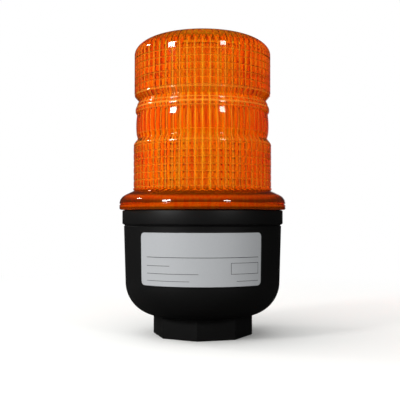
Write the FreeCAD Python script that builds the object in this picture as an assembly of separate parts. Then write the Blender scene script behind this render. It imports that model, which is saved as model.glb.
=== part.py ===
import FreeCAD, Part
import os
from math import cos, pi, radians, sin, sqrt, tan

# An amber warning light: a screw-on lens on a round housing with a threaded hub. Sizes are in millimetres.
# The origin is the centre of the hub's bottom face, +Z is up, and one corner of the hub faces the front, -Y.

Vector = FreeCAD.Vector
origin = Vector(0, 0, 0)
up = Vector(0, 0, 1)

# Hub, bored for a 1 inch taper thread
hub_sides = 8
hub_across_flats = 46.0
hub_corner = 0.8
hub_depth = 10.0
thread_bore_radius = 16.75
thread_bore_depth = 19.0
wire_hole_radius = 12.5
hub_tube_radius = 20.0
hub_tube_top = 22.0

# Housing
wall = 3.0
bowl_radius = 16.5
body_low_radius = 38.6
body_top_radius = 39.45
body_top = 54.6
rim_radius = 40.25
rim_foot = 55.4
rim_top = 62.0
rim_edge = 0.5
neck_radius = 35.8
neck_bore_radius = 33.6
neck_top = 68.0
boss_radius = 3.6
boss_circle = 28.0
boss_top = 60.0
boss_angles = (90, 210, 330)
boss_pilot_radius = 1.35
boss_pilot_depth = 12.0
boss_web = 2.4

# Label on the front of the housing
label_foot = 27.0
label_top = 51.5
label_width = 61.7
label_corner = 2.0
label_thickness = 0.25
label_turn = 4.5

# Lens: flange, lower ribbed band, waist, upper ribbed band, dome
lens_foot = 62.3
flange_radius = 41.7
flange_edge = 0.4
flange_corner = 68.4
flange_shoulder = 5.0
lower_band_radius = 34.65
upper_band_radius = 34.3
band_foot_radius = 34.85
lower_band_foot = 71.5
rib_pitch = 3.4
rib_rise = 0.2
lower_ribs_foot = 73.4
lower_rib_count = 6
upper_ribs_foot = 120.2
upper_rib_count = 5
lower_groove_radius = 32.6
lower_groove_height = 97.7
lower_groove_shoulder = 95.1
barrel_foot_radius = 33.2
barrel_radius = 33.42
barrel_top_radius = 33.0
barrel_foot = 100.0
barrel_top = 110.0
ridge_radius = 33.75
ridge_foot = 111.0
ridge_top = 112.8
upper_groove_radius = 31.95
upper_groove_height = 116.8
upper_groove_shoulder = 119.4
soft_edge = 0.4
dome_foot = 139.8
dome_top = 149.5
dome_flat_radius = 15.0

# Lens inside: skirt for the thread and gasket, and a tapered core with upright flutes
skirt_bore_radius = 37.0
skirt_top = 68.4
gasket_recess_radius = 39.9
gasket_recess_top = 64.5
core_foot_radius = 31.6
core_top_radius = 29.7
flute_count = 60
flute_rise = 0.6
dome_wall = 3.0

# Gasket
gasket_inner_radius = 37.2
gasket_outer_radius = 39.7
gasket_foot = 62.05
gasket_top = 64.4
gasket_edge = 0.6

# Plate that closes the housing and carries the light post
plate_radius = 33.0
plate_foot = boss_top
plate_top = 62.0
plate_lip = 64.5
plate_lip_width = 1.2
plate_wire_hole_radius = 4.0
screw_clearance_radius = 1.6

# Light post and its strips
post_sides = 6
post_across_flats = 15.0
post_top = 132.0
post_bore_radius = 4.4
post_channel_circle = 6.3
post_channel_angles = (60, 180, 300)
post_channel_depth = 9.5
strip_width = 7.4
strip_thickness = 1.6
strip_foot = 77.0
strip_top = 130.0
emitter_size = 3.5
emitter_depth = 0.8
emitter_window = 2.4
emitter_window_depth = 0.15
emitter_heights = (91.0, 105.0, 119.0)
link_height = 84.0
link_radius = 0.5
link_reach = 2.9
link_bend_share = 0.6
cap_radius = 11.5
cap_thickness = 3.0
cap_edge = 1.2
cap_spigot_radius = 4.3
cap_spigot_depth = 6.0

# Screws: hexagon heads with plain shanks
head_across_flats = 5.0
head_height = 1.8
shank_radius = 1.25
shank_length = 9.0

# Driver board under the plate, and where its parts stand on it
board_radius = 24.0
board_foot = 42.0
board_thickness = 1.6
standoff_across_flats = 5.5
standoff_circle = 20.0
standoff_angles = (30, 150, 270)
standoff_bore_radius = 1.3
transformer_place = (0, 12)
transformer_core_size = (16.0, 7.0, 14.0)
transformer_leg = 5.0
transformer_yoke = 2.6
coil_overhang = 2.7
coil_gap = 0.1
capacitor_place = (13.5, -3.0)
capacitor_radius = 5.0
capacitor_height = 13.0
capacitor_groove = 0.4
capacitor_groove_foot = 1.5
capacitor_groove_width = 1.2
choke_place = (-14.0, -3.0)
choke_radius = 4.5
choke_waist_radius = 3.2
choke_height = 9.0
choke_flange = 1.4
rectifier_place = (9.0, -14.0)
rectifier_size = (8.0, 6.0, 3.0)
rectifier_chamfer = 0.6
fuse_place = (-10.0, -12.5)
fuse_radius = 2.2
fuse_cap_radius = 2.6
fuse_length = 14.0
fuse_cap_length = 3.2
varistor_place = (0, -7.5)
varistor_radius = 4.5
varistor_thickness = 3.0
chip_place = (-7.6, 2.2)
chip_size = (4.0, 5.0, 1.5)
transistor_place = (10.3, 5.2)
transistor_body = (6.4, 2.3, 6.0)
transistor_tab = (5.4, 0.6, 9.0)
header_size = (10.4, 4.0, 6.0)
lead_spread = 2.2
lead_radius = 0.7
lead_hole_radius = 1.05
lead_seat = 1.0
lead_exit_height = 74.0
lead_bend = 2.0
lead_end_height = 79.5
terminal_size = (17.0, 10.0, 10.0)
terminal_place = (0, 3.0)
terminal_ways = 2
terminal_wire_radius = 1.9
terminal_wire_height = 6.5
terminal_wire_depth = 7.0
terminal_well_radius = 1.8
terminal_well_depth = 3.0
terminal_screw_radius = 1.7
terminal_screw_sink = 0.8
terminal_slot_width = 0.6
terminal_slot_depth = 0.6

# How far a cutter runs past the face that it cuts
overshoot = 1.0

# Sizes that follow from those above
hub_radius = hub_across_flats / 2 / cos(pi / hub_sides)
post_radius = post_across_flats / 2 / cos(pi / post_sides)
strip_face = post_across_flats / 2 + strip_thickness
board_top = board_foot + board_thickness


def in_section(across, height):
    return Vector(across, 0, height)


def in_plan(across, along):
    return Vector(across, along, 0)


def polar(radius, degrees, height=0.0):
    return Vector(radius * cos(radians(degrees)), radius * sin(radians(degrees)), height)


def line(start, end):
    return Part.LineSegment(start, end).toShape()


def arc(start, middle, end):
    return Part.Arc(start, middle, end).toShape()


def path(corners, place):
    """Edges along an open run of corners. A corner with a third value is rounded to that radius."""
    points = [place(corner[0], corner[1]) for corner in corners]
    edges = []
    start = points[0]
    for before, point, after, corner in zip(points, points[1:], points[2:], corners[1:]):
        if len(corner) < 3:
            edges.append(line(start, point))
            start = point
            continue
        radius = corner[2]
        to_before = (before - point).normalize()
        to_after = (after - point).normalize()
        half_angle = to_before.getAngle(to_after) / 2
        bisector = (to_before + to_after).normalize()
        setback = radius / tan(half_angle)
        centre = point + bisector * (radius / sin(half_angle))
        arc_start = point + to_before * setback
        arc_end = point + to_after * setback
        edges.append(line(start, arc_start))
        edges.append(arc(arc_start, centre - bisector * radius, arc_end))
        start = arc_end
    edges.append(line(start, points[-1]))
    return edges


def closed_face(corners, place):
    """Face inside a closed run of corners, begun half way along its last side."""
    first, last = corners[0], corners[-1]
    seam = ((first[0] + last[0]) / 2, (first[1] + last[1]) / 2)
    return Part.Face(Part.Wire(path([seam] + list(corners) + [seam], place)))


def turned(corners, angle=360.0):
    return closed_face(corners, in_section).revolve(origin, up, angle)


def prism(corners, foot, top):
    face = closed_face(corners, in_plan)
    face.translate(Vector(0, 0, foot))
    return face.extrude(Vector(0, 0, top - foot))


def polygon(sides, radius, first_angle, corner_radius=None):
    points = [polar(radius, first_angle + 360 * k / sides) for k in range(sides)]
    extra = () if corner_radius is None else (corner_radius,)
    return [(point.x, point.y) + extra for point in points]


def cylinder(radius, foot, top, place=(0, 0)):
    return Part.makeCylinder(radius, top - foot, Vector(place[0], place[1], foot))


def block(size, foot, place=(0, 0)):
    width, depth, height = size
    return Part.makeBox(width, depth, height, Vector(place[0] - width / 2, place[1] - depth / 2, foot))


def spun(shape, degrees):
    copy = shape.copy()
    copy.rotate(origin, up, degrees)
    return copy


def circle_of(radius, angles):
    points = [polar(radius, angle) for angle in angles]
    return [(point.x, point.y) for point in points]


def tube(edges, radius, start, direction):
    """Round bar along straight runs and arcs that meet in line."""
    spine = Part.Wire(edges)
    ring = Part.Wire(Part.Circle(start, direction, radius).toShape())
    return spine.makePipeShell([ring], True, False)


def body_radius(height):
    """Radius of the housing's tapered side at a height."""
    share = (height - hub_depth) / (body_top - hub_depth)
    return body_low_radius + share * (body_top_radius - body_low_radius)


def housing():
    outside = turned([
        (0, hub_depth),
        (body_low_radius, hub_depth, bowl_radius),
        (body_top_radius, body_top),
        (rim_radius, rim_foot, rim_edge),
        (rim_radius, rim_top, rim_edge),
        (neck_radius, rim_top),
        (neck_radius, neck_top, rim_edge),
        (0, neck_top)])
    floor = hub_depth + wall
    cavity = turned([
        (0, floor),
        (body_low_radius - wall, floor, bowl_radius - wall),
        (neck_bore_radius, rim_foot),
        (neck_bore_radius, neck_top + overshoot),
        (0, neck_top + overshoot)])
    posts = []
    pilots = []
    for angle, place in zip(boss_angles, circle_of(boss_circle, boss_angles)):
        web_length = body_low_radius - boss_circle
        web = Part.makeBox(web_length, boss_web, boss_top - floor, Vector(boss_circle, -boss_web / 2, floor))
        column = cylinder(boss_radius, floor, boss_top, place)
        posts.append(column.fuse(spun(web, angle)).common(outside))
        pilots.append(cylinder(boss_pilot_radius, boss_top - boss_pilot_depth, boss_top + overshoot, place))
    hub = prism(polygon(hub_sides, hub_radius, -90, hub_corner), 0, floor)
    hub_tube = cylinder(hub_tube_radius, hub_depth, hub_tube_top)
    thread_bore = cylinder(thread_bore_radius, -overshoot, thread_bore_depth)
    wire_hole = cylinder(wire_hole_radius, thread_bore_depth - overshoot, hub_tube_top + overshoot)
    solid = outside.cut(cavity).fuse(posts + [hub, hub_tube])
    return solid.cut(pilots + [thread_bore, wire_hole]).removeSplitter()


def rating_label():
    """Thin foil bent round the tapered side, with round corners."""
    low, high = body_radius(label_foot), body_radius(label_top)
    angle = label_width / body_radius((label_foot + label_top) / 2) * 180 / pi
    strip = turned([
        (low, label_foot),
        (low + label_thickness, label_foot),
        (high + label_thickness, label_top),
        (high, label_top)], angle)
    corners = [edge for edge in strip.Edges if edge.Length < 2 * label_thickness]
    return spun(strip.makeFillet(label_corner, corners), label_turn - 90 - angle / 2)


def rib_arcs(radius, foot, count):
    """Shallow round ribs, one above the other, on a band of the lens."""
    edges = []
    for k in range(count):
        low = foot + k * rib_pitch
        middle = in_section(radius + rib_rise, low + rib_pitch / 2)
        edges.append(arc(in_section(radius, low), middle, in_section(radius, low + rib_pitch)))
    return edges


def quarter_ellipse(flat_radius, side_radius, foot, top):
    """Quarter of an ellipse, from an upright side in to a flat top."""
    centre = in_section(flat_radius, foot)
    ellipse = Part.Ellipse(in_section(side_radius, foot), in_section(flat_radius, top), centre)
    return Part.ArcOfEllipse(ellipse, 0, pi / 2).toShape()


def lens_blank():
    """The lens's outside as one solid of revolution."""
    lower_ribs_top = lower_ribs_foot + lower_rib_count * rib_pitch
    upper_ribs_top = upper_ribs_foot + upper_rib_count * rib_pitch
    edges = path([
        (0, lens_foot),
        (flange_radius, lens_foot, flange_edge),
        (flange_radius, flange_corner, flange_shoulder),
        (band_foot_radius, lower_band_foot, soft_edge),
        (band_foot_radius, lower_ribs_foot - soft_edge),
        (lower_band_radius, lower_ribs_foot)], in_section)
    edges += rib_arcs(lower_band_radius, lower_ribs_foot, lower_rib_count)
    edges += path([
        (lower_band_radius, lower_ribs_top),
        (lower_band_radius, lower_groove_shoulder, soft_edge),
        (lower_groove_radius, lower_groove_height, soft_edge),
        (barrel_foot_radius, barrel_foot)], in_section)
    barrel_low = in_section(barrel_foot_radius, barrel_foot)
    barrel_middle = in_section(barrel_radius, (barrel_foot + barrel_top) / 2)
    barrel_high = in_section(barrel_top_radius, barrel_top)
    edges.append(arc(barrel_low, barrel_middle, barrel_high))
    edges += path([
        (barrel_top_radius, barrel_top),
        (ridge_radius, ridge_foot),
        (ridge_radius, ridge_top, soft_edge),
        (upper_groove_radius, upper_groove_height, soft_edge),
        (upper_band_radius, upper_groove_shoulder, soft_edge),
        (upper_band_radius, upper_ribs_foot)], in_section)
    edges += rib_arcs(upper_band_radius, upper_ribs_foot, upper_rib_count)
    edges += path([(upper_band_radius, upper_ribs_top), (upper_band_radius, dome_foot)], in_section)
    edges.append(quarter_ellipse(dome_flat_radius, upper_band_radius, dome_foot, dome_top))
    edges += path([(dome_flat_radius, dome_top), (0, dome_top), (0, lens_foot)], in_section)
    return Part.Face(Part.Wire(edges)).revolve(origin, up, 360)


def fluted_ring(radius, height):
    """Ring of round flutes that bulge towards the axis and meet in sharp valleys at the radius."""
    step = 360 / flute_count
    edges = []
    for k in range(flute_count):
        start = polar(radius, k * step, height)
        middle = polar(radius - flute_rise, (k + 0.5) * step, height)
        end = polar(radius, (k + 1) % flute_count * step, height)
        edges.append(arc(start, middle, end))
    return Part.Wire(edges)


def lens():
    core_foot = skirt_top - overshoot
    core = Part.makeLoft([fluted_ring(core_foot_radius, core_foot), fluted_ring(core_top_radius, dome_foot)],
                         True, True)
    inner_radius = core_top_radius - flute_rise
    inner_flat = inner_radius * dome_flat_radius / upper_band_radius
    inner_top = dome_top - dome_wall
    inner_foot = dome_foot - overshoot
    dome_edges = [
        line(in_section(0, inner_foot), in_section(inner_radius, inner_foot)),
        line(in_section(inner_radius, inner_foot), in_section(inner_radius, dome_foot)),
        quarter_ellipse(inner_flat, inner_radius, dome_foot, inner_top),
        line(in_section(inner_flat, inner_top), in_section(0, inner_top)),
        line(in_section(0, inner_top), in_section(0, inner_foot))]
    dome = Part.Face(Part.Wire(dome_edges)).revolve(origin, up, 360)
    skirt = cylinder(skirt_bore_radius, lens_foot - overshoot, skirt_top)
    recess = cylinder(gasket_recess_radius, lens_foot - overshoot, gasket_recess_top)
    return lens_blank().cut(core).cut([dome, skirt, recess])


def lens_gasket():
    """Ring with bevelled edges."""
    return turned([
        (gasket_inner_radius + gasket_edge, gasket_foot),
        (gasket_outer_radius - gasket_edge, gasket_foot),
        (gasket_outer_radius, gasket_foot + gasket_edge),
        (gasket_outer_radius, gasket_top - gasket_edge),
        (gasket_outer_radius - gasket_edge, gasket_top),
        (gasket_inner_radius + gasket_edge, gasket_top),
        (gasket_inner_radius, gasket_top - gasket_edge),
        (gasket_inner_radius, gasket_foot + gasket_edge)])


def chassis_plate():
    plate = turned([
        (0, plate_foot),
        (plate_radius, plate_foot),
        (plate_radius, plate_lip),
        (plate_radius - plate_lip_width, plate_lip),
        (plate_radius - plate_lip_width, plate_top),
        (0, plate_top)])
    places = circle_of(boss_circle, boss_angles)
    places += circle_of(standoff_circle, standoff_angles)
    places += circle_of(post_channel_circle, post_channel_angles)
    holes = [cylinder(screw_clearance_radius, plate_foot - overshoot, plate_lip, place) for place in places]
    wire_hole = cylinder(plate_wire_hole_radius, plate_foot - overshoot, plate_lip)
    return plate.cut(holes + [wire_hole])


def led_post():
    """Six-sided tube with screw channels up from its foot and two holes for the leads."""
    post = prism(polygon(post_sides, post_radius, 0), plate_top, post_top)
    bore = cylinder(post_bore_radius, plate_top - overshoot, post_top + overshoot)
    channel_top = plate_top + post_channel_depth
    channels = [cylinder(shank_radius, plate_top - overshoot, channel_top, place)
                for place in circle_of(post_channel_circle, post_channel_angles)]
    forward = Vector(0, -1, 0)
    starts = [Vector(side * lead_spread, 0, lead_exit_height) for side in (-1, 1)]
    lead_holes = [Part.makeCylinder(lead_hole_radius, post_radius, start, forward) for start in starts]
    return post.cut([bore] + channels + lead_holes)


def on_face(shape, index):
    """Turns a piece made for the front face of the post to another face."""
    return spun(shape, 360 / post_sides * index)


def led_board():
    return Part.makeBox(strip_width, strip_thickness, strip_top - strip_foot,
                        Vector(-strip_width / 2, -strip_face, strip_foot))


def led_emitters():
    emitters = []
    for height in emitter_heights:
        base = Part.makeBox(emitter_size, emitter_depth, emitter_size,
                            Vector(-emitter_size / 2, -strip_face - emitter_depth, height - emitter_size / 2))
        depth = emitter_depth + emitter_window_depth
        window = Part.makeBox(emitter_window, depth, emitter_window,
                              Vector(-emitter_window / 2, -strip_face - depth, height - emitter_window / 2))
        emitters.append(base.fuse(window))
    return Part.makeCompound(emitters)


def board_links():
    """Short wires round the corners of the post, from each strip to the next."""
    reach = strip_face + link_radius
    half_turn = pi / post_sides
    corner = Vector(reach * tan(half_turn), -reach, link_height)
    start = Vector(link_reach, -reach, link_height)
    start_polar = start - Vector(0, 0, link_height)
    end = spun(Part.Vertex(Vector(-start_polar.x, start_polar.y, link_height)), 360 / post_sides).Point
    setback = (corner - start).Length * link_bend_share
    arc_start = corner + (start - corner).normalize() * setback
    arc_end = corner + (end - corner).normalize() * setback
    bend_radius = setback / tan(half_turn)
    bisector = (arc_start + arc_end - corner * 2).normalize()
    middle = corner + bisector * (bend_radius / cos(half_turn) - bend_radius)
    edges = [line(start, arc_start), arc(arc_start, middle, arc_end), line(arc_end, end)]
    link = tube(edges, link_radius, start, Vector(1, 0, 0))
    return Part.makeCompound([on_face(link, k) for k in range(post_sides - 1)])


def post_cap():
    """Round cap with a bevelled edge, on a spigot that plugs the post's bore."""
    cap_top = post_top + cap_thickness
    return turned([
        (0, post_top - cap_spigot_depth),
        (cap_spigot_radius, post_top - cap_spigot_depth),
        (cap_spigot_radius, post_top),
        (cap_radius, post_top),
        (cap_radius, cap_top - cap_edge),
        (cap_radius - cap_edge, cap_top),
        (0, cap_top)])


def screw(place, seat, direction):
    """Screw with its head's underside on the seat. Direction 1 puts the head up, -1 puts it down."""
    head_radius = head_across_flats / 2 / cos(pi / 6)
    head = prism(polygon(6, head_radius, 0), 0, head_height)
    shank = cylinder(shank_radius, -shank_length, 0)
    body = head.fuse(shank)
    if direction < 0:
        body.rotate(origin, Vector(1, 0, 0), 180)
    body.translate(Vector(place[0], place[1], seat))
    return body


def screws(radius, angles, seat, direction):
    return Part.makeCompound([screw(place, seat, direction) for place in circle_of(radius, angles)])


def driver_board():
    board = cylinder(board_radius, board_foot, board_top)
    holes = [cylinder(screw_clearance_radius, board_foot - overshoot, board_top + overshoot, place)
             for place in circle_of(standoff_circle, standoff_angles)]
    return board.cut(holes)


def driver_standoffs():
    radius = standoff_across_flats / 2 / cos(pi / 6)
    standoffs = []
    for place in circle_of(standoff_circle, standoff_angles):
        column = prism(polygon(6, radius, 0), board_top, plate_foot)
        column.translate(Vector(place[0], place[1], 0))
        bore = cylinder(standoff_bore_radius, board_top - overshoot, plate_foot + overshoot, place)
        standoffs.append(column.cut(bore))
    return Part.makeCompound(standoffs)


def transformer_core():
    width, depth, height = transformer_core_size
    core = block(transformer_core_size, board_top, transformer_place)
    window_width = (width - transformer_leg) / 2 - transformer_yoke
    window_size = (window_width, depth + 2 * overshoot, height - 2 * transformer_yoke)
    offset = (transformer_leg + window_width) / 2
    places = [(transformer_place[0] + side * offset, transformer_place[1]) for side in (-1, 1)]
    return core.cut([block(window_size, board_top + transformer_yoke, place) for place in places])


def transformer_coil():
    width, depth, height = transformer_core_size
    outer_width = width - 2 * transformer_yoke - 2 * coil_gap
    coil_height = height - 2 * transformer_yoke - 2 * coil_gap
    foot = board_top + transformer_yoke + coil_gap
    half_width, half_depth = outer_width / 2, depth / 2 + coil_overhang
    corner = coil_overhang / 2
    corners = [
        (-half_width, -half_depth, corner),
        (half_width, -half_depth, corner),
        (half_width, half_depth, corner),
        (-half_width, half_depth, corner)]
    coil = prism(corners, foot, foot + coil_height)
    coil.translate(Vector(transformer_place[0], transformer_place[1], 0))
    leg_hole = (transformer_leg + 2 * coil_gap, depth + 2 * coil_gap, coil_height + 2 * overshoot)
    return coil.cut(block(leg_hole, foot - overshoot, transformer_place))


def bulk_capacitor():
    """Can with a rolled groove near its foot."""
    top = board_top + capacitor_height
    groove_foot = board_top + capacitor_groove_foot
    can = turned([
        (0, board_top),
        (capacitor_radius, board_top),
        (capacitor_radius, groove_foot),
        (capacitor_radius - capacitor_groove, groove_foot + capacitor_groove_width / 2),
        (capacitor_radius, groove_foot + capacitor_groove_width),
        (capacitor_radius, top - capacitor_groove),
        (capacitor_radius - capacitor_groove, top),
        (0, top)])
    can.translate(Vector(capacitor_place[0], capacitor_place[1], 0))
    return can


def input_choke():
    """Drum core with its winding."""
    top = board_top + choke_height
    drum = turned([
        (0, board_top),
        (choke_radius, board_top),
        (choke_radius, board_top + choke_flange),
        (choke_waist_radius, board_top + choke_flange),
        (choke_waist_radius, top - choke_flange),
        (choke_radius, top - choke_flange),
        (choke_radius, top),
        (0, top)])
    drum.translate(Vector(choke_place[0], choke_place[1], 0))
    return drum


def bridge_rectifier():
    body = block(rectifier_size, board_top, rectifier_place)
    upper_edges = [edge for edge in body.Edges if edge.BoundBox.ZMin > board_top + rectifier_size[2] / 2]
    return body.makeChamfer(rectifier_chamfer, upper_edges)


def fuse():
    """Glass tube with a metal cap at each end, lying along X."""
    axis = Vector(1, 0, 0)
    start = Vector(fuse_place[0] - fuse_length / 2, fuse_place[1], board_top + fuse_cap_radius)
    far_cap = start + axis * (fuse_length - fuse_cap_length)
    glass_start = start + axis * fuse_cap_length
    glass = Part.makeCylinder(fuse_radius, fuse_length - 2 * fuse_cap_length, glass_start, axis)
    caps = [Part.makeCylinder(fuse_cap_radius, fuse_cap_length, place, axis) for place in (start, far_cap)]
    return Part.makeCompound([glass] + caps)


def surge_varistor():
    x, y = varistor_place
    centre = Vector(x, y - varistor_thickness / 2, board_top + varistor_radius)
    return Part.makeCylinder(varistor_radius, varistor_thickness, centre, Vector(0, 1, 0))


def control_chip():
    return block(chip_size, board_top, chip_place)


def switch_transistor():
    """Moulded body with a metal tab behind it."""
    body = block(transistor_body, board_top, transistor_place)
    behind = transistor_place[1] + (transistor_body[1] + transistor_tab[1]) / 2
    tab = block(transistor_tab, board_top, (transistor_place[0], behind))
    return body.fuse(tab)


def output_header():
    """Socket that takes the two leads from above."""
    header = block(header_size, board_top)
    hole_top = board_top + header_size[2] + overshoot
    places = [(side * lead_spread, 0) for side in (-1, 1)]
    return header.cut([cylinder(lead_radius, board_top + lead_seat, hole_top, place) for place in places])


def led_lead(side):
    """Lead from the driver up the post's bore, out below the front strip and up to its solder pad."""
    x = side * lead_spread
    outside = strip_face + lead_radius
    bow = lead_bend * (1 - sqrt(0.5))
    start = Vector(x, 0, board_top + lead_seat)
    turn_start = Vector(x, 0, lead_exit_height - lead_bend)
    turn_middle = Vector(x, -bow, lead_exit_height - bow)
    turn_end = Vector(x, -lead_bend, lead_exit_height)
    rise_start = Vector(x, lead_bend - outside, lead_exit_height)
    rise_middle = Vector(x, bow - outside, lead_exit_height + bow)
    rise_end = Vector(x, -outside, lead_exit_height + lead_bend)
    end = Vector(x, -outside, lead_end_height)
    edges = [
        line(start, turn_start),
        arc(turn_start, turn_middle, turn_end),
        line(turn_end, rise_start),
        arc(rise_start, rise_middle, rise_end),
        line(rise_end, end)]
    return tube(edges, lead_radius, start, up)


def terminal_places():
    pitch = terminal_size[0] / terminal_ways
    first = terminal_place[0] - terminal_size[0] / 2 + pitch / 2
    return [(first + k * pitch, terminal_place[1]) for k in range(terminal_ways)]


def terminal_block():
    """Block under the board with a wire way through its side and a screw well from below for each pole."""
    foot = board_foot - terminal_size[2]
    body = block(terminal_size, foot, terminal_place)
    holes = []
    for x, y in terminal_places():
        wire_start = Vector(x, y - terminal_size[1] / 2 - overshoot, foot + terminal_wire_height)
        wire_length = terminal_wire_depth + overshoot
        holes.append(Part.makeCylinder(terminal_wire_radius, wire_length, wire_start, Vector(0, 1, 0)))
        holes.append(cylinder(terminal_well_radius, foot - overshoot, foot + terminal_well_depth, (x, y)))
    return body.cut(holes)


def terminal_screws():
    """Slotted screws, sunk in the wells of the terminal block."""
    foot = board_foot - terminal_size[2]
    head = foot + terminal_screw_sink
    slot_size = (2 * terminal_well_radius, terminal_slot_width, terminal_slot_depth + overshoot)
    pieces = []
    for place in terminal_places():
        slug = cylinder(terminal_screw_radius, head, foot + terminal_well_depth, place)
        pieces.append(slug.cut(block(slot_size, head - overshoot, place)))
    return Part.makeCompound(pieces)


nodes = {
    "housing": housing(),
    "rating_label": rating_label(),
    "lens": lens(),
    "lens_gasket": lens_gasket(),
    "chassis_plate": chassis_plate(),
    "chassis_screws": screws(boss_circle, boss_angles, plate_top, 1),
    "led_post": led_post(),
    "post_screws": screws(post_channel_circle, post_channel_angles, plate_foot, -1),
    "board_links": board_links(),
    "post_cap": post_cap(),
    "driver_board": driver_board(),
    "driver_standoffs": driver_standoffs(),
    "standoff_screws": screws(standoff_circle, standoff_angles, plate_top, 1),
    "driver_screws": screws(standoff_circle, standoff_angles, board_foot, -1),
    "terminal_block": terminal_block(),
    "terminal_screws": terminal_screws(),
    "transformer_core": transformer_core(),
    "transformer_coil": transformer_coil(),
    "bulk_capacitor": bulk_capacitor(),
    "input_choke": input_choke(),
    "bridge_rectifier": bridge_rectifier(),
    "fuse": fuse(),
    "surge_varistor": surge_varistor(),
    "control_chip": control_chip(),
    "switch_transistor": switch_transistor(),
    "output_header": output_header(),
    "led_lead_positive": led_lead(1),
    "led_lead_negative": led_lead(-1)}

for face in range(post_sides):
    nodes[f"led_board_{face + 1}"] = on_face(led_board(), face)
    nodes[f"led_emitters_{face + 1}"] = on_face(led_emitters(), face)

os.makedirs("parts", exist_ok=True)
for name, shape in nodes.items():
    shape.exportStep(f"parts/{name}.step")
    print(f"{name}: {len(shape.Solids)} solids, {shape.Volume:.1f} mm3, valid {shape.isValid()}")
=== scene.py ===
from math import atan2, cos, hypot, pi, radians, sin, sqrt

import bmesh
import bpy
from mathutils import Matrix, Vector


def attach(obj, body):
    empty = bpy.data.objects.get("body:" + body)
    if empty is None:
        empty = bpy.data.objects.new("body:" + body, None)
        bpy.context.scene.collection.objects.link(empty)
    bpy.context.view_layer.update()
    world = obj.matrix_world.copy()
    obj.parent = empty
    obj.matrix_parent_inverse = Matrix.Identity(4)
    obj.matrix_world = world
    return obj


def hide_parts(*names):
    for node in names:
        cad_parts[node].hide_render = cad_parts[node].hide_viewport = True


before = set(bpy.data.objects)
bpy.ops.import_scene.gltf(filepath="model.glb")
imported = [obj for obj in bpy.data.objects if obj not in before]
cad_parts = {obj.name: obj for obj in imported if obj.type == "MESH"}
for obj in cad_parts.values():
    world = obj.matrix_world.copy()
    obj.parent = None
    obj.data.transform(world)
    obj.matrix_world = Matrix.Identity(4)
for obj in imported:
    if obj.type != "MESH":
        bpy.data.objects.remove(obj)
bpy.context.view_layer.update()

mm = 0.001  # lengths in the dictionaries are in millimetres, but those of the floor and the lamps in metres
origin = (0, 0, 0)
upAxis = (0, 0, 1)
fullTurn = 2 * pi
white = (1, 1, 1, 1)
print("frame loaded")


# Small tools for meshes

meshing = {"edgeSegments": 3, "cornerSegments": 6, "weld": 0.0005, "thinnest": 0.0002, "sharpAngle": 32}


def wire(bm, corners, mark=None):
    # an open profile in the XZ plane: radius, height, then a rounding and a mark for that edge, if any
    verts = [bm.verts.new((corner[0] * mm, 0, corner[1] * mm)) for corner in corners]
    for pair in zip(verts, verts[1:]):
        bm.edges.new(pair)
    for vert, corner in zip(verts, corners):
        edge = [vert]
        rounding = corner[2] if len(corner) > 2 else 0
        if rounding > 0:
            spot = vert.co.copy()
            rounded = bmesh.ops.bevel(bm, geom=[vert], offset=rounding * mm, offset_type="OFFSET",
                                      segments=meshing["edgeSegments"], profile=0.5, affect="VERTICES",
                                      material=-1)
            edge = sorted(rounded["verts"], key=lambda item: (item.co - spot).length)[:2]
        if len(corner) > 3:
            for near in edge:
                near[mark] = corner[3]
    return verts


def bulge(start, end, rise, steps):
    # points between two profile points, on a shallow swelling or, with no rise, on the straight line
    points = []
    for k in range(1, steps):
        t = k / steps
        swell = rise * (1 - (2 * t - 1) ** 2)
        points.append((start[0] + (end[0] - start[0]) * t + swell, start[1] + (end[1] - start[1]) * t))
    return points


def quarterEllipse(flatRadius, sideRadius, foot, top, steps):
    # points from an upright side in to a flat top
    angles = [pi / 2 * k / steps for k in range(1, steps + 1)]
    return [(flatRadius + (sideRadius - flatRadius) * cos(a), foot + (top - foot) * sin(a)) for a in angles]


def spinRound(bm, verts, steps):
    # a full turn of the profile that has these vertices
    kept = set(verts)
    edges = [edge for edge in bm.edges if edge.verts[0] in kept and edge.verts[1] in kept]
    bmesh.ops.spin(bm, geom=list(kept) + edges, cent=origin, axis=upAxis, angle=fullTurn, steps=steps,
                   use_merge=True)


def newVerts(bm, before):
    return [vert for vert in bm.verts if vert not in before]


def tidyMesh(bm):
    bmesh.ops.remove_doubles(bm, verts=bm.verts, dist=meshing["weld"] * mm)
    bmesh.ops.dissolve_degenerate(bm, edges=bm.edges, dist=meshing["thinnest"] * mm)
    bmesh.ops.recalc_face_normals(bm, faces=bm.faces)


def makePiece(bm, name, material, body, stands=()):
    # mesh to object: smooth faces, sharp edges where they turn by more than the angle
    sharpAngle = radians(meshing["sharpAngle"])
    for face in bm.faces:
        face.smooth = True
    for edge in bm.edges:
        edge.smooth = len(edge.link_faces) == 2 and edge.calc_face_angle(0) < sharpAngle
    mesh = bpy.data.meshes.new(name)
    bm.to_mesh(mesh)
    bm.free()
    mesh.materials.append(material)
    piece = bpy.data.objects.new(name, mesh)
    bpy.context.scene.collection.objects.link(piece)
    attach(piece, body)
    if stands:
        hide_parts(*stands)
    return piece


# Small tools for materials

# sockets of a Mix node, by number: its share, then low end, high end and result, for numbers and for colours
mixShare = 0
numberLow = 2
numberHigh = 3
numberOut = 0
colourLow = 6
colourHigh = 7
colourOut = 2


def linear(hexColour):
    # sRGB hex to linear light
    channels = [int(hexColour[k:k + 2], 16) / 255 for k in (1, 3, 5)]
    return [c / 12.92 if c <= 0.04045 else ((c + 0.055) / 1.055) ** 2.4 for c in channels] + [1.0]


def addNode(tree, kind, inputs=None, **settings):
    node = tree.nodes.new(kind)
    for name, value in settings.items():
        setattr(node, name, value)
    for socket, value in (inputs or {}).items():
        if isinstance(value, bpy.types.NodeSocket):
            tree.links.new(value, node.inputs[socket])
        else:
            node.inputs[socket].default_value = value
    return node


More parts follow.
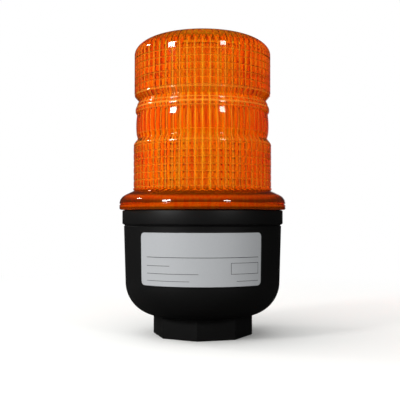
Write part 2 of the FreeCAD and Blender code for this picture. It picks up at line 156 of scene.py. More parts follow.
def startMaterial(name):
    material = bpy.data.materials.new(name)
    material.use_nodes = True
    tree = material.node_tree
    tree.nodes.clear()
    place = addNode(tree, "ShaderNodeTexCoord").outputs["Object"]
    return material, tree, place


def finishMaterial(tree, shader, inside=None):
    ends = {"Surface": shader.outputs[0]}
    if inside:
        ends["Volume"] = inside.outputs[0]
    addNode(tree, "ShaderNodeOutputMaterial", ends)


def perMetre(size):
    # texture scale whose features are about this many millimetres across
    return 1 / (size * mm)


# Amber polycarbonate, injection moulded: yellow where it is thin, red-brown where light goes far through it

amber = {
    "pale": "#fff01c", "deep": "#ff7a00",  # dye along the flutes' lines and between them: the pale lines are painted highlights, the deep bands painted shade
    "streakWidth": 1.1, "streakLength": 14.0, "streakShare": 0.35, "streakFrom": 0.35, "streakTo": 0.65,
    "edge": "#ffb848", "frostedHighlight": 0.6, "haze": 0.02,  # frosted edges, whose paler colour is a painted highlight, and the haze elsewhere
    "tint": "#ffdf00", "density": 145.0, "shade": "#ffe0a0",  # light through the wall, and in its shadow
    "ior": 1.58, "roughLow": 0.03, "roughHigh": 0.07, "grain": 0.8,
    "flow": 9.0, "flowStrength": 0.12, "flowDepth": 0.05,  # slow waves that the melt leaves in the surface
}


def amberPolycarbonate():
    a = amber
    material, tree, place = startMaterial("amberPolycarbonateMoulded")
    flow = addNode(tree, "ShaderNodeTexNoise", {
        "Vector": place, "Scale": perMetre(a["flow"]), "Detail": 3.0})
    grain = addNode(tree, "ShaderNodeTexNoise", {
        "Vector": place, "Scale": perMetre(a["grain"]), "Detail": 2.0})
    # upright streaks of paler and deeper dye
    across = perMetre(a["streakWidth"])
    squeezed = addNode(tree, "ShaderNodeMapping", {
        "Vector": place, "Scale": (across, across, perMetre(a["streakLength"]))})
    streak = addNode(tree, "ShaderNodeTexNoise", {"Vector": squeezed.outputs[0], "Scale": 1.0, "Detail": 2.0})
    share = addNode(tree, "ShaderNodeMapRange", {
        "Value": streak.outputs["Fac"], "From Min": a["streakFrom"], "From Max": a["streakTo"],
        "To Min": -a["streakShare"], "To Max": a["streakShare"]})
    dyeAndPaintedLines = addNode(tree, "ShaderNodeAttribute", attribute_name="dye")
    depth = addNode(tree, "ShaderNodeMath", {0: dyeAndPaintedLines.outputs["Fac"], 1: share.outputs[0]}, operation="ADD",
                    use_clamp=True)
    clear = addNode(tree, "ShaderNodeMix", {
        mixShare: depth.outputs[0], colourLow: linear(a["pale"]), colourHigh: linear(a["deep"])},
        data_type="RGBA")
    # mould edges are frosted and catch the light, and their paler colour paints thin highlight lines on them
    frostedHighlight = addNode(tree, "ShaderNodeAttribute", attribute_name="frostedHighlight").outputs["Fac"]
    colour = addNode(tree, "ShaderNodeMix", {
        mixShare: frostedHighlight, colourLow: clear.outputs[colourOut], colourHigh: linear(a["edge"])},
        data_type="RGBA")
    passed = addNode(tree, "ShaderNodeMapRange", {
        "Value": frostedHighlight, "To Min": 1 - a["haze"], "To Max": 1 - a["frostedHighlight"]})
    rough = addNode(tree, "ShaderNodeMapRange", {
        "Value": grain.outputs["Fac"], "To Min": a["roughLow"], "To Max": a["roughHigh"]})
    bump = addNode(tree, "ShaderNodeBump", {
        "Height": flow.outputs["Fac"], "Strength": a["flowStrength"], "Distance": a["flowDepth"] * mm})
    glass = addNode(tree, "ShaderNodeBsdfPrincipled", {
        "Base Color": colour.outputs[colourOut], "Roughness": rough.outputs[0], "Normal": bump.outputs[0],
        "IOR": a["ior"], "Transmission Weight": passed.outputs[0]})
    # lamps reach what is inside
    passing = addNode(tree, "ShaderNodeBsdfTransparent", {"Color": linear(a["shade"])})
    path = addNode(tree, "ShaderNodeLightPath")
    shader = addNode(tree, "ShaderNodeMixShader", {
        0: path.outputs["Is Shadow Ray"], 1: glass.outputs[0], 2: passing.outputs[0]})
    dye = addNode(tree, "ShaderNodeVolumeAbsorption", {"Color": linear(a["tint"]), "Density": a["density"]})
    finishMaterial(tree, shader, dye)
    return material


# Black polycarbonate, moulded with a fine satin grain: soft wide highlights, almost no colour

blackPlastic = {"dark": "#040404", "worn": "#0a0909", "cloud": 14.0, "ior": 1.5,
                "roughLow": 0.42, "roughHigh": 0.56, "grain": 0.35, "grainStrength": 0.25, "grainDepth": 0.03}


def blackPolycarbonate():
    b = blackPlastic
    material, tree, place = startMaterial("blackPolycarbonateSatin")
    cloud = addNode(tree, "ShaderNodeTexNoise", {
        "Vector": place, "Scale": perMetre(b["cloud"]), "Detail": 4.0})
    grain = addNode(tree, "ShaderNodeTexNoise", {
        "Vector": place, "Scale": perMetre(b["grain"]), "Detail": 2.0})
    colour = addNode(tree, "ShaderNodeMix", {
        mixShare: cloud.outputs["Fac"], colourLow: linear(b["dark"]), colourHigh: linear(b["worn"])},
        data_type="RGBA")
    rough = addNode(tree, "ShaderNodeMapRange", {
        "Value": grain.outputs["Fac"], "To Min": b["roughLow"], "To Max": b["roughHigh"]})
    bump = addNode(tree, "ShaderNodeBump", {
        "Height": grain.outputs["Fac"], "Strength": b["grainStrength"], "Distance": b["grainDepth"] * mm})
    shader = addNode(tree, "ShaderNodeBsdfPrincipled", {
        "Base Color": colour.outputs[colourOut], "Roughness": rough.outputs[0], "Normal": bump.outputs[0],
        "IOR": b["ior"]})
    finishMaterial(tree, shader)
    return material


# Silver polyester foil, printed: grey satin with a metallic sparkle
# The real flakes are finer than can show, so they are drawn a quarter of a millimetre across

foil = {"low": "#bdc0c3", "high": "#cfd1d3", "roughLow": 0.33, "roughHigh": 0.46, "metallic": 0.15,
        "sparkle": 0.25}


def silverFoil():
    material, tree, place = startMaterial("silverPolyesterFoilPrinted")
    sparkle = addNode(tree, "ShaderNodeTexNoise", {
        "Vector": place, "Scale": perMetre(foil["sparkle"]), "Detail": 1.0})
    colour = addNode(tree, "ShaderNodeMix", {
        mixShare: sparkle.outputs["Fac"], colourLow: linear(foil["low"]), colourHigh: linear(foil["high"])},
        data_type="RGBA")
    rough = addNode(tree, "ShaderNodeMapRange", {
        "Value": sparkle.outputs["Fac"], "To Min": foil["roughLow"], "To Max": foil["roughHigh"]})
    shader = addNode(tree, "ShaderNodeBsdfPrincipled", {
        "Base Color": colour.outputs[colourOut], "Roughness": rough.outputs[0], "Metallic": foil["metallic"]})
    finishMaterial(tree, shader)
    return material


# Stuffs of the other pieces: two colours that mottle at the grain's size, and a roughness

stuffs = {
    # dull amber with level rings of painted light and shade, which the flange shows as bright and dark bands
    "amberPolycarbonateSatin": {"low": "#561c0c", "high": "#c8703c", "roughness": 0.55, "grain": 0.5,
                                "paintedLightRings": 2.6},
    # warm white with a soft gloss
    "whitePolycarbonateMoulded": {"low": "#dcdad4", "high": "#f0eee9", "roughness": 0.45, "grain": 0.6},
    # flat bright white that throws the light back
    "whiteSolderMaskPrinted": {"low": "#e4e4e0", "high": "#f4f4f0", "roughness": 0.55, "grain": 0.3},
    # white with a slight orange peel
    "aluminiumPowderCoated": {"low": "#dedcd6", "high": "#eeece8", "roughness": 0.5, "grain": 0.5},
    # cool grey metal, a little cloudy
    "steelZincPlated": {"low": "#8f9192", "high": "#b9bbbb", "roughness": 0.3, "grain": 0.3, "metallic": 1.0},
    # soft yellow, like custard
    "phosphorSiliconeCast": {"low": "#e0b43c", "high": "#f2cf5a", "roughness": 0.5, "grain": 0.2},
    # dull black that takes no highlight
    "epdmRubberMoulded": {"low": "#141414", "high": "#202020", "roughness": 0.7, "grain": 0.4},
    # glossy dark green with slow waves
    "greenSolderMaskPrinted": {"low": "#0f4a2a", "high": "#16613a", "roughness": 0.3, "grain": 1.2},
    # mid green with a soft gloss
    "greenNylonMoulded": {"low": "#1f7a42", "high": "#2a8c50", "roughness": 0.4, "grain": 0.4},
    # stony dark grey
    "ferriteSintered": {"low": "#2b2b2d", "high": "#3a3a3c", "roughness": 0.6, "grain": 0.2},
    # shiny yellow film
    "yellowPolyesterTapeWound": {"low": "#c9a11c", "high": "#dcb52c", "roughness": 0.25, "grain": 0.9},
    # tight glossy skin, nearly black
    "blackSleeveHeatShrunk": {"low": "#15161c", "high": "#20222a", "roughness": 0.3, "grain": 0.5},
    # pale and slick
    "sodaGlassDrawn": {"low": "#cfd6d2", "high": "#dfe6e2", "roughness": 0.08, "grain": 0.8},
    # rounded glossy blue
    "blueEpoxyDipped": {"low": "#174a9a", "high": "#1f58ac", "roughness": 0.25, "grain": 0.7},
    # fine matt black
    "blackEpoxyMoulded": {"low": "#18181a", "high": "#242426", "roughness": 0.5, "grain": 0.15},
    # milky cream
    "creamNylonMoulded": {"low": "#dcd8c8", "high": "#e8e4d6", "roughness": 0.4, "grain": 0.4},
    # smooth white skin on a wire
    "whiteVinylExtruded": {"low": "#dedede", "high": "#ececec", "roughness": 0.35, "grain": 0.5},
    # smooth grey skin on a wire
    "greyVinylExtruded": {"low": "#a4a4a4", "high": "#b2b2b2", "roughness": 0.35, "grain": 0.5},
    # dense charcoal lines
    "blackInkScreenPrinted": {"low": "#2a2c2f", "high": "#3a3c40", "roughness": 0.5, "grain": 0.2},
}
stuffDetail = {"roughSwing": 0.15, "grainStrength": 0.15, "grainDepth": 0.03, "ringWander": 0.8,
               "wanderScale": 0.2}


def plainStuff(name):
    values = stuffs[name]
    d = stuffDetail
    material, tree, place = startMaterial(name)
    mottle = addNode(tree, "ShaderNodeTexNoise", {
        "Vector": place, "Scale": perMetre(values["grain"]), "Detail": 3.0})
    shade = mottle.outputs["Fac"]
    if "paintedLightRings" in values:
        # level rings of painted light and shade, this many millimetres apart: a wave of scale 1 comes again
        # after pi / 10
        shade = addNode(tree, "ShaderNodeTexWave", {
            "Vector": place, "Scale": perMetre(values["paintedLightRings"]) * pi / 10, "Distortion": d["ringWander"],
            "Detail Scale": d["wanderScale"], "Phase Offset": -pi / 2}, bands_direction="Z").outputs["Fac"]
    colour = addNode(tree, "ShaderNodeMix", {
        mixShare: shade, colourLow: linear(values["low"]), colourHigh: linear(values["high"])},
        data_type="RGBA")
    rough = addNode(tree, "ShaderNodeMapRange", {
        "Value": mottle.outputs["Fac"], "To Min": values["roughness"] * (1 - d["roughSwing"]),
        "To Max": values["roughness"] * (1 + d["roughSwing"])})
    bump = addNode(tree, "ShaderNodeBump", {
        "Height": mottle.outputs["Fac"], "Strength": d["grainStrength"], "Distance": d["grainDepth"] * mm})
    shader = addNode(tree, "ShaderNodeBsdfPrincipled", {
        "Base Color": colour.outputs[colourOut], "Roughness": rough.outputs[0], "Normal": bump.outputs[0],
        "Metallic": values.get("metallic", 0.0)})
    finishMaterial(tree, shader)
    return material


amberMaterial = amberPolycarbonate()
blackMaterial = blackPolycarbonate()
foilMaterial = silverFoil()
stuffMaterials = {name: plainStuff(name) for name in stuffs}
print("materials made")


# Lens: flange, two ribbed bands, a waist with a barrel between two grooves, a low dome, and flutes inside

lensShape = {
    # flange, with a line round it
    "foot": 62.3, "flangeRadius": 41.7, "flangeEdge": 0.8, "flangeCorner": 68.4, "shoulderRound": 3.0,
    "lineHeight": 65.1, "lineDepth": 0.6, "lineWidth": 0.9,
    # bands, with a line at the foot of the lower one and creases between the ribs
    "lowerBandRadius": 34.65, "upperBandRadius": 34.3, "bandFootRadius": 34.85, "lowerBandFoot": 71.5,
    "footLine": 0.5, "ribPitch": 3.4, "ribSteps": 2, "creaseWidth": 0.7, "creaseDepth": 0.35, "softEdge": 0.4,
    "lowerRibsFoot": 73.4, "lowerRibs": 6, "lowerRise": 0.03,
    "upperRibsFoot": 120.2, "upperRibs": 5, "upperRise": 0.0,
    # waist, from the lower groove to the upper one
    "lowerGrooveShoulder": 95.1, "shoulderEdge": 0.8, "lowerGrooveRadius": 32.6, "lowerGrooveHeight": 97.7,
    "barrelFootRadius": 33.2, "barrelTopRadius": 33.0, "barrelFoot": 100.0, "barrelTop": 110.0,
    "barrelRise": 0.32, "barrelSteps": 12, "ridgeRadius": 33.75, "ridgeFoot": 111.0, "ridgeTop": 113.0,
    "stepRadius": 33.0, "stepFoot": 114.2, "stepTop": 114.9,
    "upperGrooveRadius": 31.95, "upperGrooveHeight": 116.8, "upperGrooveShoulder": 119.4,
    # dome
    "domeFoot": 139.8, "domeTop": 149.5, "domeFlat": 15.0, "domeWall": 3.0, "domeSteps": 26,
    # skirt that goes over the neck, satin inside
    "skirtBore": 37.0, "skirtTop": 68.4, "recessRadius": 39.9, "recessTop": 64.5, "satinRadius": 40.4,
    # core and its flutes, with how far they take to fade out at the foot and over the dome
    "coreFootRadius": 31.6, "coreTopRadius": 29.7, "coreSteps": 10, "fadeSteps": 4, "innerDomeSteps": 16,
    "poleSteps": 6, "flutes": 60, "fluteRise": 2.4, "fluteSteps": 12, "fluteFade": 1.2, "domeFade": 3.0,
    "domeShare": 0.1, "turn": 3.0, "wallSteps": 8,
    # dye and frost, from 0 to 1: the deep dye is painted shade, the pale dye and the frosted lines are
    # painted highlights
    "bandShadeDye": 0.75, "barrelShadeDye": 0.95, "fluteLightShadeDye": 0.8,
    "edgeFrostHighlight": 0.7, "creaseFrostHighlight": 0.7, "lineFrostHighlight": 0.7,
}


def ribs(radius, foot, count, rise):
    # low flat ribs with a narrow crease between them, whose frosted bottom is a pale painted highlight line
    s = lensShape
    half = s["creaseWidth"] / 2
    points = []
    for k in range(count):
        valley = foot + k * s["ribPitch"]
        low = (radius, valley + half)
        high = (radius, valley + s["ribPitch"] - half)
        points += [(radius - s["creaseDepth"], valley, 0, s["creaseFrostHighlight"]), low]
        points += bulge(low, high, rise, s["ribSteps"]) + [high]
    top = foot + count * s["ribPitch"]
    return points + [(radius - s["creaseDepth"], top, 0, s["creaseFrostHighlight"]), (radius, top + half)]


def lensOutside():
    s = lensShape
    soft = s["softEdge"]
    lineHalf = s["lineWidth"] / 2
    # the frosted edges of the waist are paler: painted highlight lines
    highlightFrost = s["edgeFrostHighlight"]
    barrelLow = (s["barrelFootRadius"], s["barrelFoot"], soft / 2, highlightFrost)
    barrelHigh = (s["barrelTopRadius"], s["barrelTop"])
    corners = [
        (s["skirtBore"] - 2 * soft, s["skirtTop"]),
        (s["skirtBore"], s["skirtTop"], soft),
        (s["skirtBore"], s["recessTop"]),
        (s["recessRadius"], s["recessTop"], soft),
        (s["recessRadius"], s["foot"]),
        (s["flangeRadius"], s["foot"], s["flangeEdge"]),
        (s["flangeRadius"], s["lineHeight"] - lineHalf),
        (s["flangeRadius"] - s["lineDepth"], s["lineHeight"]),
        (s["flangeRadius"], s["lineHeight"] + lineHalf),
        (s["flangeRadius"], s["flangeCorner"], s["shoulderRound"]),
        (s["bandFootRadius"] + soft / 2, s["lowerBandFoot"]),
        (s["bandFootRadius"] - s["footLine"], s["lowerBandFoot"] + soft),
        (s["bandFootRadius"], s["lowerBandFoot"] + 2 * soft),
        (s["bandFootRadius"], s["lowerRibsFoot"] - soft)]
    corners += ribs(s["lowerBandRadius"], s["lowerRibsFoot"], s["lowerRibs"], s["lowerRise"])
    corners += [
        (s["lowerBandRadius"], s["lowerGrooveShoulder"], s["shoulderEdge"], highlightFrost / 2),
        (s["lowerGrooveRadius"], s["lowerGrooveHeight"], soft),
        barrelLow]
    corners += bulge(barrelLow, barrelHigh, s["barrelRise"], s["barrelSteps"])
    corners += [
        barrelHigh,
        (s["ridgeRadius"], s["ridgeFoot"], soft, highlightFrost),
        (s["ridgeRadius"], s["ridgeTop"], 2 * soft, highlightFrost),
        (s["stepRadius"], s["stepFoot"], soft / 3),
        (s["stepRadius"], s["stepTop"], soft, highlightFrost),
        (s["upperGrooveRadius"], s["upperGrooveHeight"]),
        (s["upperBandRadius"], s["upperGrooveShoulder"], soft, highlightFrost)]
    corners += ribs(s["upperBandRadius"], s["upperRibsFoot"], s["upperRibs"], s["upperRise"])
    corners.append((s["upperBandRadius"], s["domeFoot"]))
    corners += quarterEllipse(s["domeFlat"], s["upperBandRadius"], s["domeFoot"], s["domeTop"],
                              s["domeSteps"])
    corners.append((0, s["domeTop"]))
    return corners


def innerDome():
    # radius of the flat, radius at the side and height at the top of the inner dome
    s = lensShape
    flat = s["coreTopRadius"] * s["domeFlat"] / s["upperBandRadius"]
    return flat, s["coreTopRadius"], s["domeTop"] - s["domeWall"]


def lensInside():
    s = lensShape
    flat, side, top = innerDome()
    foot = (s["coreFootRadius"], s["skirtTop"])
    faded = (s["coreFootRadius"], s["skirtTop"] + s["fluteFade"])
    corners = [foot] + bulge(foot, faded, 0, s["fadeSteps"]) + [faded]
    high = (side, s["domeFoot"])
    corners += bulge(faded, high, 0, s["coreSteps"]) + [high]
    corners += quarterEllipse(flat, side, s["domeFoot"], top, s["innerDomeSteps"])
    corners += bulge((flat, top), (0, top), 0, s["poleSteps"]) + [(0, top)]
    return corners


def pressFlutes(bm, dye):
    # each flute swells towards the axis, or down from the dome, and fades at the foot and the pole; its dye
    # is pale along its middle as painted light and deep at its sides as painted shade
    s = lensShape
    flat, side, top = innerDome()
    sector = fullTurn / s["flutes"]
    for vert in bm.verts:
        radius = hypot(vert.co.x, vert.co.y) / mm
        height = vert.co.z / mm
        across = atan2(vert.co.y, vert.co.x) / sector  # 0 at one side of the flute, 1 at the other
        fade = min(1, (height - s["skirtTop"]) / s["fluteFade"]) * min(1, radius / side)
        fade *= max(s["domeShare"], 1 - max(0, height - s["domeFoot"]) / s["domeFade"])
        rise = s["fluteRise"] * fade * 4 * across * (1 - across)
        if height <= s["domeFoot"]:
            outward, upward = 1.0, 0.0
        else:
            outward = max(0, radius - flat) / (side - flat) ** 2
            upward = (height - s["domeFoot"]) / (top - s["domeFoot"]) ** 2
        length = hypot(outward, upward)
        scale = 1 - rise * outward / length / radius if radius > 0 else 1
        vert.co = Vector((vert.co.x * scale, vert.co.y * scale, vert.co.z - rise * upward / length * mm))
        vert[dye] = 0.5 + fade * s["fluteLightShadeDye"] * (abs(2 * across - 1) - 0.5)


def paintLinesOnWall(verts, dye, frostedHighlight):
    # painted highlights as thin pale frosted lines over the flutes, between deeper bands of painted shade,
    # deepest on the barrel
    s = lensShape
    sector = fullTurn / s["flutes"]
    barrelEdge = s["barrelFoot"] - s["softEdge"] / 4
    for vert in verts:
        height = vert.co.z / mm
        across = atan2(vert.co.y, vert.co.x) / sector
        line = max(0, 1 - abs(2 * across - 1) * s["wallSteps"] / 2)
        line *= min(1, max(0, height - s["lowerBandFoot"]))
        line *= min(1, max(0, 1 - (height - s["domeFoot"]) / s["domeFade"]))
        deep = s["barrelShadeDye"] if barrelEdge < height < s["stepTop"] else s["bandShadeDye"]
        vert[dye] = deep * (1 - line)
        vert[frostedHighlight] = max(vert[frostedHighlight], line * s["lineFrostHighlight"])


def makeLens():
    # one flute wide, inside and outside, then repeated round the axis and closed at the foot
    s = lensShape
    sector = fullTurn / s["flutes"]
    bm = bmesh.new()
    dye = bm.verts.layers.float.new("dye")
    frostedHighlight = bm.verts.layers.float.new("frostedHighlight")
    wire(bm, lensInside())
    bmesh.ops.spin(bm, geom=bm.verts[:] + bm.edges[:], cent=origin, axis=upAxis, angle=sector,
                   steps=s["fluteSteps"])
    pressFlutes(bm, dye)
    inside = set(bm.verts)
    wire(bm, lensOutside(), frostedHighlight)
    edges = [edge for edge in bm.edges if edge.verts[0] not in inside]
    bmesh.ops.spin(bm, geom=newVerts(bm, inside) + edges, cent=origin, axis=upAxis, angle=sector,
                   steps=s["wallSteps"])
    paintLinesOnWall(newVerts(bm, inside), dye, frostedHighlight)
    bmesh.ops.spin(bm, geom=bm.verts[:] + bm.edges[:] + bm.faces[:], cent=origin, axis=upAxis,
                   angle=fullTurn - sector, steps=s["flutes"] - 1, use_duplicate=True)
    bmesh.ops.rotate(bm, verts=bm.verts, cent=origin, matrix=Matrix.Rotation(radians(s["turn"]), 3, "Z"))
    bmesh.ops.remove_doubles(bm, verts=bm.verts, dist=meshing["weld"] * mm)
    bmesh.ops.bridge_loops(bm, edges=[edge for edge in bm.edges if len(edge.link_faces) == 1])
    tidyMesh(bm)
    # the skirt's inside is satin, so that the flange looks solid
    satinTop = s["skirtTop"] + s["softEdge"] / 8
    for face in bm.faces:
        middle = face.calc_center_median() / mm
        face.material_index = int(middle.z < satinTop and hypot(middle.x, middle.y) < s["satinRadius"])
    piece = makePiece(bm, "lensMoulded", amberMaterial, "lens", ["lens"])
    piece.data.materials.append(stuffMaterials["amberPolycarbonateSatin"])
    return piece


lensPiece = makeLens()
print("lens made:", len(lensPiece.data.polygons), "faces")


# Screw threads: a coarse one between the neck and the lens, and a fine taper thread in the hub

lensThread = {"wall": 36.98, "top": 36.2, "width": 1.2, "crest": 0.4, "foot": 65.3, "pitch": 3.0,
              "turns": 0.75, "steps": 96}
neckThread = {"wall": 35.7, "top": 36.6, "width": 1.2, "crest": 0.4, "foot": 63.8, "pitch": 3.0,
              "turns": 1.0, "steps": 96}
hubThread = {"wall": 16.85, "top": 15.45, "width": 2.0, "crest": 0.25, "foot": 1.7, "pitch": 2.209,
             "turns": 7.0, "steps": 64}


def makeThread(name, values, material, body):
    # a bar on a helix: wide at the wall it stands on, narrow at its crest
    low = values["foot"]
    wide = values["width"] / 2
    narrow = wide * values["crest"]
    spots = ((values["wall"], low - wide), (values["wall"], low + wide), (values["top"], low + narrow),
             (values["top"], low - narrow))
    bm = bmesh.new()
    verts = [bm.verts.new((radius * mm, 0, height * mm)) for radius, height in spots]
    face = bm.faces.new(verts)
    steps = int(values["turns"] * values["steps"])
    bmesh.ops.spin(bm, geom=verts + face.edges[:] + [face], cent=origin, axis=upAxis,
                   angle=fullTurn * values["turns"], steps=steps,
                   dvec=(0, 0, values["pitch"] / values["steps"] * mm))
    tidyMesh(bm)
    makePiece(bm, name, material, body)


makeThread("lensThread", lensThread, amberMaterial, "lens")
makeThread("neckThread", neckThread, blackMaterial, "housing")
makeThread("hubThread", hubThread, blackMaterial, "housing")
print("threads made")


# Housing: bowl, rim, neck and octagonal hub with its bore, all one moulding

housingShape = {
    "hubFlats": 46.0, "hubSides": 8, "hubEdge": 0.5, "hubClear": 2.5, "boreRadius": 16.75, "boreTop": 19.0,
    "wireHole": 12.5, "tubeRadius": 20.0, "tubeTop": 22.0,
    "bowlFloor": 10.0, "bowlRadius": 16.5, "bowlSteps": 24, "innerBowlSteps": 16, "wall": 3.0,
    "bodyLow": 38.6, "bodyTopRadius": 39.45, "bodyTop": 54.6,
    "rimRadius": 40.25, "rimFoot": 55.4, "rimTop": 62.0, "rimEdge": 0.5, "rimLine": 0.5,
    "neckRadius": 35.8, "neckTop": 68.0, "neckBore": 33.6, "steps": 192,
}
bosses = {"angles": (90, 210, 330), "circle": 28.0, "radius": 3.6, "foot": 14.5, "top": 60.0, "pilot": 1.35,
          "pilotDepth": 12.0, "web": 2.4, "webStart": 0.9, "webSteps": 10, "steps": 32}


def bowlArc(inset, steps):
    # the bowl's round lower corner, from its floor up to its side
    s = housingShape
    radius = s["bowlRadius"] - inset
    centre = (s["bodyLow"] - s["bowlRadius"], s["bowlFloor"] + s["bowlRadius"])
    angles = [pi / 2 * k / steps for k in range(steps + 1)]
    return [(centre[0] + radius * sin(a), centre[1] - radius * cos(a)) for a in angles]


def bowlHeight(radius):
    # height of the bowl's outside over a radius near its floor
    s = housingShape
    reach = max(0, radius - (s["bodyLow"] - s["bowlRadius"]))
    return s["bowlFloor"] + s["bowlRadius"] - sqrt(s["bowlRadius"] ** 2 - reach ** 2)


def addBoss(bm, angle):
    # a post with a pilot hole and a web that ties it to the wall, made on the X axis and turned to its place
    b = bosses
    s = housingShape
    before = set(bm.verts)
    pilotFoot = b["top"] - b["pilotDepth"]
    wire(bm, [(0, pilotFoot), (b["pilot"], pilotFoot), (b["pilot"], b["top"]), (b["radius"], b["top"]),
              (b["radius"], b["foot"]), (0, b["foot"])])
    spinRound(bm, newVerts(bm, before), b["steps"])
    bmesh.ops.translate(bm, verts=newVerts(bm, before), vec=(b["circle"] * mm, 0, 0))
    reach = b["circle"] + b["radius"]
    middle = [point for point in bowlArc(s["wall"] / 2, b["webSteps"]) if point[0] > reach]
    edge = [(b["circle"] + b["radius"] * b["webStart"], middle[0][1])] + middle
    edge += [(s["bodyTopRadius"] - s["wall"], b["top"]), (edge[0][0], b["top"])]
    face = bm.faces.new([bm.verts.new((x * mm, -b["web"] / 2 * mm, z * mm)) for x, z in edge])
    grown = bmesh.ops.extrude_face_region(bm, geom=[face])["geom"]
    far = [item for item in grown if isinstance(item, bmesh.types.BMVert)]
    bmesh.ops.translate(bm, verts=far, vec=(0, b["web"] * mm, 0))
    turned = Matrix.Rotation(radians(angle), 3, "Z")
    bmesh.ops.rotate(bm, verts=newVerts(bm, before), cent=origin, matrix=turned)


def squareHub(bm):
    # the round hub of the spun shape gets its flats, with a corner to the front, and its top follows the bowl
    s = housingShape
    hub = s["hubFlats"] / 2
    facet = fullTurn / s["hubSides"]
    nearHub = 2 * s["hubEdge"]
    close = 0.01
    for vert in bm.verts:
        radius = hypot(vert.co.x, vert.co.y) / mm
        height = vert.co.z / mm
        if abs(radius - hub) < nearHub and height < s["bowlFloor"] + close:
            turn = (atan2(vert.co.y, vert.co.x) + pi / 2) % facet - facet / 2
            wide = radius / cos(turn)
            lift = bowlHeight(wide) * mm if height > s["bowlFloor"] - close else vert.co.z
            vert.co = Vector((vert.co.x * wide / radius, vert.co.y * wide / radius, lift))


def makeHousing():
    s = housingShape
    hub = s["hubFlats"] / 2
    outerArc = [point for point in bowlArc(0, s["bowlSteps"]) if point[0] > hub + s["hubClear"]]
    innerArc = [point for point in bowlArc(s["wall"], s["innerBowlSteps"]) if point[0] > s["tubeRadius"]]
    corners = [
        (s["boreRadius"], 0),
        (hub, 0, s["hubEdge"]),
        (hub, s["bowlFloor"])]
    corners += outerArc
    corners += [
        (s["bodyTopRadius"], s["bodyTop"] - s["rimLine"]),
        (s["bodyTopRadius"] - s["rimLine"], s["bodyTop"]),
        (s["rimRadius"], s["rimFoot"], s["rimEdge"] / 2),
        (s["rimRadius"], s["rimTop"], s["rimEdge"]),
        (s["neckRadius"], s["rimTop"]),
        (s["neckRadius"], s["neckTop"], s["rimEdge"]),
        (s["neckBore"], s["neckTop"], s["rimEdge"]),
        (s["neckBore"], s["rimFoot"])]
    corners += reversed(innerArc)
    corners += [
        (s["tubeRadius"], s["bowlFloor"] + s["wall"]),
        (s["tubeRadius"], s["tubeTop"], s["rimEdge"]),
        (s["wireHole"], s["tubeTop"], s["rimEdge"]),
        (s["wireHole"], s["boreTop"]),
        (s["boreRadius"], s["boreTop"])]
    bm = bmesh.new()
    verts = wire(bm, corners)
    bm.edges.new((verts[-1], verts[0]))
    spinRound(bm, bm.verts, s["steps"])
    squareHub(bm)
    for angle in bosses["angles"]:
        addBoss(bm, angle)
    tidyMesh(bm)
    return makePiece(bm, "housingMoulded", blackMaterial, "housing", ["housing"])


housingPiece = makeHousing()
print("housing made:", len(housingPiece.data.polygons), "faces")


# Gasket: a round-edged rubber ring in the foot of the lens

gasketShape = {"inner": 37.2, "outer": 39.7, "foot": 62.05, "top": 64.4, "edge": 0.6, "steps": 128}


def makeGasket():
    s = gasketShape
    middle = (s["inner"] + s["outer"]) / 2
    bm = bmesh.new()
    verts = wire(bm, [
        (middle, s["foot"]),
        (s["outer"], s["foot"], s["edge"]),
        (s["outer"], s["top"], s["edge"]),
        (s["inner"], s["top"], s["edge"]),
        (s["inner"], s["foot"], s["edge"]),
        (middle - s["edge"] / 2, s["foot"])])
    bm.edges.new((verts[-1], verts[0]))
    spinRound(bm, bm.verts, s["steps"])
    tidyMesh(bm)
    makePiece(bm, "gasketRing", stuffMaterials["epdmRubberMoulded"], "lens_gasket", ["lens_gasket"])


makeGasket()
print("gasket made")


# Label: thin foil with round corners, bent round the tapered side of the housing, with empty ruled fields

labelShape = {"width": 61.7, "foot": 27.0, "top": 51.5, "corner": 2.0, "thickness": 0.25, "turn": 4.5,
              "strips": 60}
labelPrint = {
    "thickness": 0.02, "lift": 0.03, "strip": 1.5,
    # left, right, low and high on the flat label
    "rules": ((-27.0, 29.0, 40.1, 40.35), (-27.0, -14.5, 36.2, 36.4), (-27.0, -0.8, 32.6, 32.8),
              (-27.0, -5.0, 29.3, 29.5), (14.2, 29.0, 37.6, 37.8), (14.2, 29.0, 32.6, 32.8),
              (14.2, 14.4, 32.6, 37.8), (28.8, 29.0, 32.6, 37.8), (17.0, 29.0, 29.3, 29.5)),
}


def sideRadius(height):
    s = housingShape
    share = (height - s["bowlFloor"]) / (s["bodyTop"] - s["bowlFloor"])
    return s["bodyLow"] + share * (s["bodyTopRadius"] - s["bodyLow"])


def bendRound(bm, lift):
    # flat X and Z become an arc length and a height on the housing's side, and -Y the height above that side
    middle = sideRadius((labelShape["foot"] + labelShape["top"]) / 2)
    start = radians(labelShape["turn"]) - pi / 2
    for vert in bm.verts:
        angle = start + vert.co.x / mm / middle
        radius = (sideRadius(vert.co.z / mm) + lift) * mm - vert.co.y
        vert.co = Vector((radius * cos(angle), radius * sin(angle), vert.co.z))


def flatPlate(bm, left, right, low, high, corner, strips):
    # a flat face with round corners, cut into upright strips so that it can be bent
    spots = ((left, low), (right, low), (right, high), (left, high))
    verts = [bm.verts.new((x * mm, 0, z * mm)) for x, z in spots]
    bm.faces.new(verts)
    if corner:
        bmesh.ops.bevel(bm, geom=verts, offset=corner * mm, offset_type="OFFSET",
                        segments=meshing["cornerSegments"], profile=0.5, affect="VERTICES", material=-1)
    for k in range(1, strips):
        x = (left + (right - left) * k / strips) * mm
        bmesh.ops.bisect_plane(bm, geom=bm.verts[:] + bm.edges[:] + bm.faces[:], plane_co=(x, 0, 0),
                               plane_no=(1, 0, 0))


